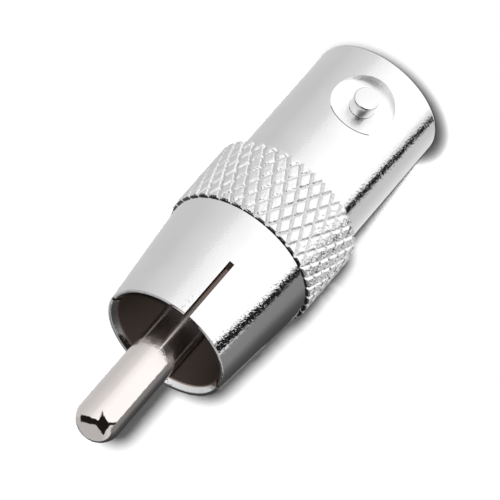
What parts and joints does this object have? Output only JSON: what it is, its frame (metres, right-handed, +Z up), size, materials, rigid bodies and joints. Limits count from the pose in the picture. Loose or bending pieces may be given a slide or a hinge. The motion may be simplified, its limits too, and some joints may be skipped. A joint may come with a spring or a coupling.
{
  "type": "rca to bnc adapter",
  "caption": "Nickel-plated coax adapter with a slotted phono plug and round-nosed pin at one end, a bayonet socket barrel with side studs at the other, and a diamond-knurled grip.",
  "frame": {"origin": "centre of the bayonet barrel's rim, on which the adapter stands", "axes": "+Z up the common axis towards the tip of the phono pin, +X through the first bayonet stud"},
  "size_m": [0.0114, 0.0114, 0.0346],
  "materials": {
    "barrel_nickel": "brass, turned and knurled, bright nickel plate",
    "sleeve_nickel": "brass, turned, bright nickel plate",
    "pin_nickel": "brass, turned, nickel plate, a little warmer and softer than the sleeve",
    "gold_flash": "brass, turned, thin gold flash",
    "black_plastic": "black moulded insulator",
    "white_plastic": "white moulded insulator"
  },
  "bodies": {
    "root": {"knurled_barrel": "barrel_nickel", "bayonet_stud_1": "barrel_nickel", "bayonet_stud_2": "barrel_nickel", "phono_sleeve": "sleeve_nickel", "phono_pin": "pin_nickel", "socket_contact": "gold_flash", "phono_insulator": "black_plastic", "bayonet_insulator": "white_plastic"}
  },
  "joints": []
}
